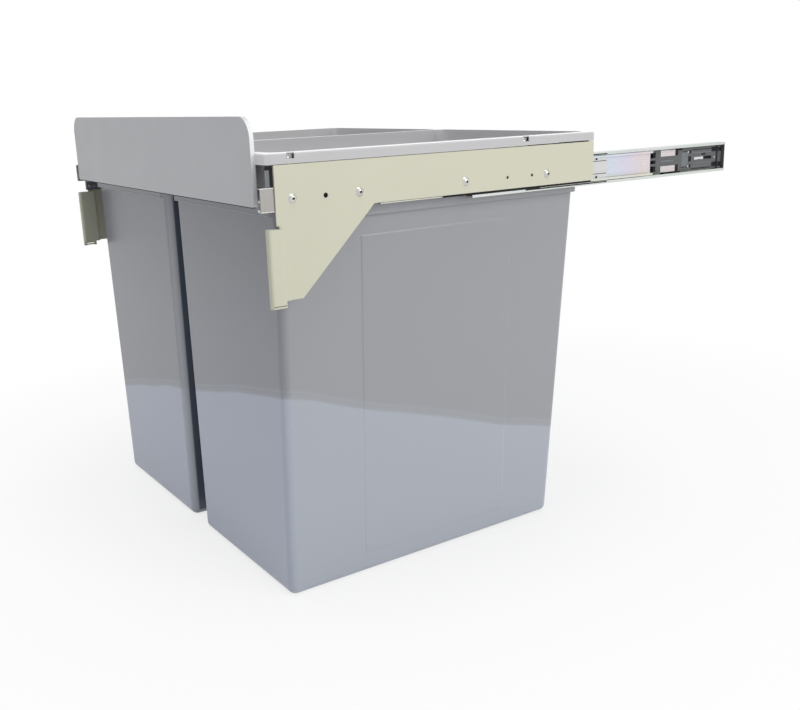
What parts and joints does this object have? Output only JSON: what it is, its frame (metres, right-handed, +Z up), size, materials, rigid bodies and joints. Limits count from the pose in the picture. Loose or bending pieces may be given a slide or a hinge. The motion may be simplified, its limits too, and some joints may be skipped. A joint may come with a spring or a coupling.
{
  "type": "pull out trash cabinet",
  "caption": "Pull-out waste carriage for a kitchen base cabinet: tapered lift-out bins in a folded steel frame on full-extension ball slides with soft-close units",
  "frame": {"origin": "midway between the fixing-hole patterns of the two cabinet members, on the slides' centre line", "axes": "+Z up, -Y the front that is pulled out, +X to the right as seen from the front"},
  "size_m": [0.566, 0.6399, 0.4902],
  "materials": {
    "frame_grey": "smooth grey powder coat, satin",
    "panel_grey": "smooth darker grey powder coat, satin",
    "cream_coat": "pale cream powder coat, satin",
    "bin_plastic": "moulded grey plastic, soft gloss",
    "zinc_steel": "bright zinc-plated rolled steel",
    "bright_steel": "polished steel balls, screws and pins",
    "dark_plastic": "moulded dark grey plastic"
  },
  "bodies": {
    "cabinet_rails": {"right_outer_slide_member": "zinc_steel", "right_soft_close_housing": "dark_plastic", "right_soft_close_pins": "bright_steel", "right_end_stop": "dark_plastic", "left_outer_slide_member": "zinc_steel", "left_soft_close_housing": "dark_plastic", "left_soft_close_pins": "bright_steel", "left_end_stop": "dark_plastic"},
    "carriage": {"top_frame": "frame_grey", "front_panel": "panel_grey", "front_panel_screws": "bright_steel", "right_side_plate": "cream_coat", "right_door_pocket": "cream_coat", "right_plate_screws": "bright_steel", "right_frame_rivets": "bright_steel", "right_inner_slide_member": "zinc_steel", "left_side_plate": "cream_coat", "left_door_pocket": "cream_coat", "left_plate_screws": "bright_steel", "left_frame_rivets": "bright_steel", "left_inner_slide_member": "zinc_steel"},
    "right_middle_rail": {"right_middle_slide_member": "zinc_steel"},
    "right_inner_ball_row": {"right_inner_ball_cage": "zinc_steel", "right_inner_balls": "bright_steel"},
    "right_outer_ball_row": {"right_outer_ball_cage": "zinc_steel", "right_outer_balls": "bright_steel"},
    "right_catch": {"right_soft_close_catch": "zinc_steel"},
    "right_bin": {"right_waste_bin": "bin_plastic"},
    "left_middle_rail": {"left_middle_slide_member": "zinc_steel"},
    "left_inner_ball_row": {"left_inner_ball_cage": "zinc_steel", "left_inner_balls": "bright_steel"},
    "left_outer_ball_row": {"left_outer_ball_cage": "zinc_steel", "left_outer_balls": "bright_steel"},
    "left_catch": {"left_soft_close_catch": "zinc_steel"},
    "left_bin": {"left_waste_bin": "bin_plastic"}
  },
  "joints": [
    {"name": "carriage_slide", "type": "slide", "parent": "cabinet_rails", "child": "carriage", "axis": [0, -1, 0], "range_m": [-0.238, 0.162]},
    {"name": "right_middle_rail_slide", "type": "slide", "parent": "cabinet_rails", "child": "right_middle_rail", "axis": [0, -1, 0], "range_m": [-0.119, 0.081]},
    {"name": "right_inner_ball_row_slide", "type": "slide", "parent": "cabinet_rails", "child": "right_inner_ball_row", "axis": [0, -1, 0], "range_m": [-0.1785, 0.1215]},
    {"name": "right_outer_ball_row_slide", "type": "slide", "parent": "cabinet_rails", "child": "right_outer_ball_row", "axis": [0, -1, 0], "range_m": [-0.0595, 0.0405]},
    {"name": "right_catch_slide", "type": "slide", "parent": "cabinet_rails", "child": "right_catch", "axis": [0, 1, 0], "range_m": [0, 0.015]},
    {"name": "right_bin_lift", "type": "slide", "parent": "carriage", "child": "right_bin", "axis": [0, 0, 1], "range_m": [0, 0.47]},
    {"name": "left_middle_rail_slide", "type": "slide", "parent": "cabinet_rails", "child": "left_middle_rail", "axis": [0, -1, 0], "range_m": [-0.119, 0.081]},
    {"name": "left_inner_ball_row_slide", "type": "slide", "parent": "cabinet_rails", "child": "left_inner_ball_row", "axis": [0, -1, 0], "range_m": [-0.1785, 0.1215]},
    {"name": "left_outer_ball_row_slide", "type": "slide", "parent": "cabinet_rails", "child": "left_outer_ball_row", "axis": [0, -1, 0], "range_m": [-0.0595, 0.0405]},
    {"name": "left_catch_slide", "type": "slide", "parent": "cabinet_rails", "child": "left_catch", "axis": [0, 1, 0], "range_m": [0, 0.015]},
    {"name": "left_bin_lift", "type": "slide", "parent": "carriage", "child": "left_bin", "axis": [0, 0, 1], "range_m": [0, 0.47]}
  ],
  "couplings": [
    {"joint": "right_middle_rail_slide", "follows": "carriage_slide", "ratio": 0.5},
    {"joint": "right_inner_ball_row_slide", "follows": "carriage_slide", "ratio": 0.75},
    {"joint": "right_outer_ball_row_slide", "follows": "carriage_slide", "ratio": 0.25},
    {"joint": "left_middle_rail_slide", "follows": "carriage_slide", "ratio": 0.5},
    {"joint": "left_inner_ball_row_slide", "follows": "carriage_slide", "ratio": 0.75},
    {"joint": "left_outer_ball_row_slide", "follows": "carriage_slide", "ratio": 0.25}
  ]
}
